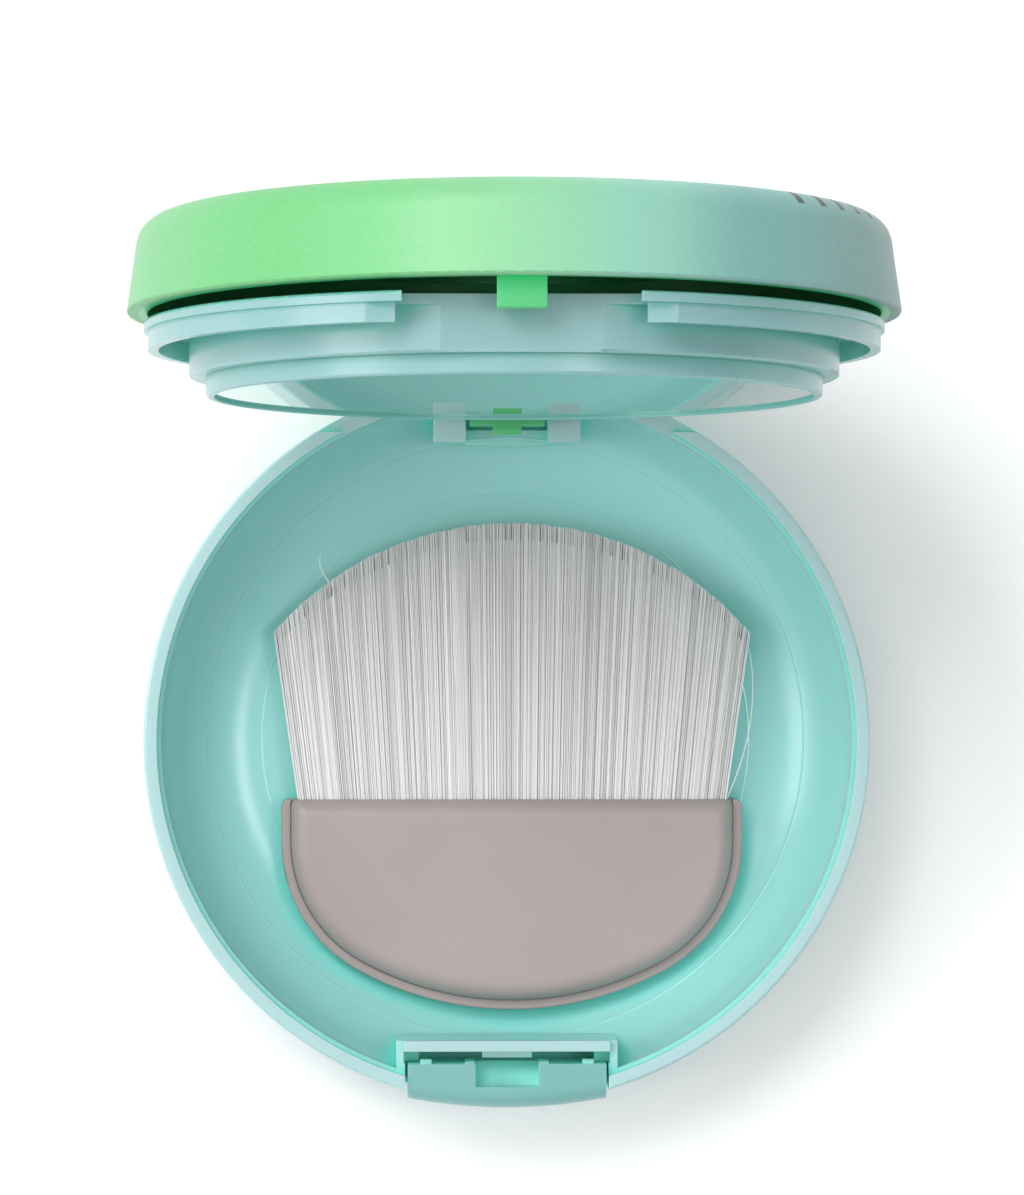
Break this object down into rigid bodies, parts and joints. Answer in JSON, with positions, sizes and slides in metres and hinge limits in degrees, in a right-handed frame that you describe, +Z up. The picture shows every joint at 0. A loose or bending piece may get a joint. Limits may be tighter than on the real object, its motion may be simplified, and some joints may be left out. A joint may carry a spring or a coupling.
{
  "type": "two-deck powder compact with flat brush",
  "caption": "Round powder compact, open: bowl base holding a flat brush, hinged tray with powder pan and mirror, domed lid, front push-button latch.",
  "frame": {"origin": "middle of the flat underside, on the bowl's centre line", "axes": "+Z up, +Y towards the hinge, +X to the right as seen from the latch"},
  "size_m": [0.076, 0.0924, 0.0891],
  "materials": {
    "base_plastic": "glossy pale aqua moulding",
    "button_plastic": "glossy grey-aqua moulding",
    "tray_plastic": "glossy pale aqua moulding",
    "lid_skin": "glossy, shaded from green to aqua across its width",
    "lid_liner": "glossy bright green moulding",
    "steel": "drawn wire",
    "pan_metal": "pressed sheet",
    "powder": "matt pressed powder",
    "mirror_glass": "silvered glass",
    "tape": "white double-sided tape",
    "glue": "set hot glue",
    "handle_plastic": "satin taupe moulding",
    "bristle": "fine grey synthetic bristle",
    "label_paper": "blank white label"
  },
  "bodies": {
    "base": {"base_shell": "base_plastic", "hinge_pin": "steel", "bottom_label": "label_paper", "brush_handle_lower": "handle_plastic", "brush_handle_upper": "handle_plastic", "bristle_tuft": "bristle", "tuft_glue": "glue"},
    "latch": {"latch_button": "button_plastic"},
    "tray": {"tray_shell": "tray_plastic", "powder_pan": "pan_metal", "pan_glue": "glue", "pressed_powder": "powder", "mirror_frame": "tray_plastic", "mirror": "mirror_glass", "mirror_tape": "tape"},
    "lid": {"lid_cover": "lid_skin", "lid_inner": "lid_liner"}
  },
  "joints": [
    {"name": "tray_hinge", "type": "hinge", "parent": "base", "child": "tray", "pos_m": [0, 0.0382, 0.0132], "axis": [-1, 0, 0], "range_deg": [-92.4, 0]},
    {"name": "lid_hinge", "type": "hinge", "parent": "tray", "child": "lid", "pos_m": [0, 0.0382, 0.0132], "axis": [-1, 0, 0], "range_deg": [-0.7, 86.5]},
    {"name": "button_press", "type": "slide", "parent": "base", "child": "latch", "axis": [0, 1, 0], "range_m": [0, 0.0008], "stiffness_N_per_m": 1500}
  ]
}
